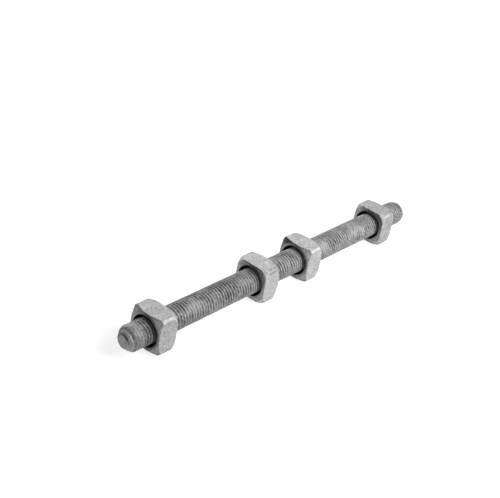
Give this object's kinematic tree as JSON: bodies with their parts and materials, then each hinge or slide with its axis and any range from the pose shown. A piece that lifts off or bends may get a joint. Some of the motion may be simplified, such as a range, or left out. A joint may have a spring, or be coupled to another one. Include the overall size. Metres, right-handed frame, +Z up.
{
  "type": "double arming bolt",
  "caption": "Fully threaded galvanised rod with square nuts in opposed pairs, each pair clamping a timber crossarm.",
  "frame": {"origin": "middle of the rod, on its axis", "axes": "+X along the rod from its pointed end to its plain end, +Z up with every nut lying on one of its flats"},
  "size_m": [0.3048, 0.0282, 0.0282],
  "materials": {
    "rod_zinc": "dull hot-dip zinc",
    "nut_zinc": "dull hot-dip zinc"
  },
  "bodies": {
    "stud": {"stud": "rod_zinc"},
    "outer_nut_a": {"outer_nut_a": "nut_zinc"},
    "inner_nut_a": {"inner_nut_a": "nut_zinc"},
    "inner_nut_b": {"inner_nut_b": "nut_zinc"},
    "outer_nut_b": {"outer_nut_b": "nut_zinc"}
  },
  "joints": [
    {"name": "outer_nut_a_travel", "type": "slide", "parent": "stud", "child": "outer_nut_a", "axis": [1, 0, 0], "range_m": [-0.0127, 0.04318]},
    {"name": "inner_nut_a_travel", "type": "slide", "parent": "stud", "child": "inner_nut_a", "axis": [1, 0, 0], "range_m": [-0.04318, 0.01524]},
    {"name": "inner_nut_b_travel", "type": "slide", "parent": "stud", "child": "inner_nut_b", "axis": [1, 0, 0], "range_m": [-0.01524, 0.0381]},
    {"name": "outer_nut_b_travel", "type": "slide", "parent": "stud", "child": "outer_nut_b", "axis": [1, 0, 0], "range_m": [-0.0381, 0.01778]}
  ]
}
